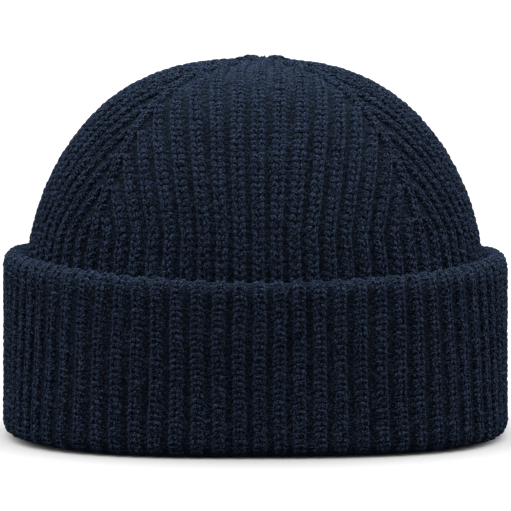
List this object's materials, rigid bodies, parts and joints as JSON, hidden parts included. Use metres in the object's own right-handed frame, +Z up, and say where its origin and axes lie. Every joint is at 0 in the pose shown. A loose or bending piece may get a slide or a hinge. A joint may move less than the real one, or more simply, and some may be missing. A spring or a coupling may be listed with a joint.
{
  "type": "ribbed wool beanie",
  "caption": "Ribbed knit beanie with a doubled, turned-up cuff and a rounded crown drawn together at the top.",
  "frame": {"origin": "middle of the plane that the cap rests on, under the middle of its bounding box", "axes": "+Z up to the crown, -Y towards the front that the picture shows, +X to the right in it"},
  "size_m": [0.2, 0.188, 0.1495],
  "materials": {
    "wool": "matte"
  },
  "bodies": {
    "root": {"crown": "wool", "cuff": "wool"}
  },
  "joints": []
}
